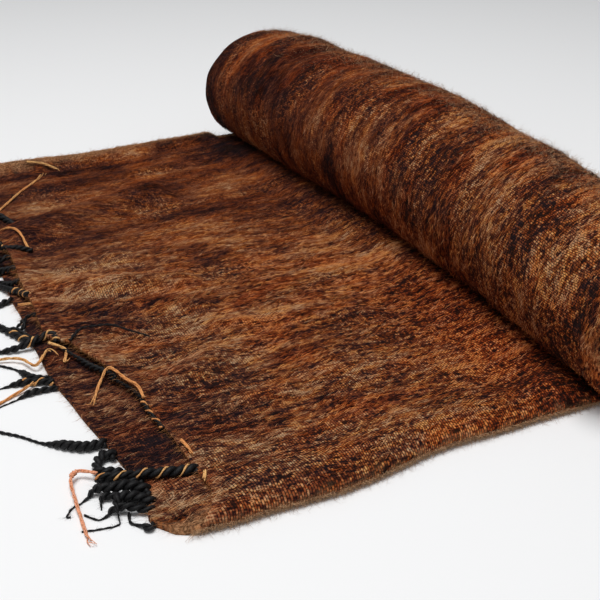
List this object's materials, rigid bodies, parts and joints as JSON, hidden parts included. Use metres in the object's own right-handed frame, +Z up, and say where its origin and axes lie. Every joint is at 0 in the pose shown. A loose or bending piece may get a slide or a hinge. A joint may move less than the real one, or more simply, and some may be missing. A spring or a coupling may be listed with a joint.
{
  "type": "wool blanket",
  "caption": "Brushed wool blanket, folded once along its length and rolled up from one end, with its fringed end lying flat in front of the roll.",
  "frame": {"origin": "middle of the blanket's bounding rectangle, on the floor that it lies on", "axes": "+X along the cloth from the fringe to the roll, +Y along the roll from the fold to the selvedges, +Z up"},
  "size_m": [0.4796, 0.626, 0.1274],
  "materials": {
    "wool": "brushed, mottled brown, rust and tan",
    "yarn": "twisted black yarn with tan accents"
  },
  "bodies": {
    "root": {"blanket": "wool", "fringe_lower": "yarn", "fringe_upper": "yarn"}
  },
  "joints": []
}
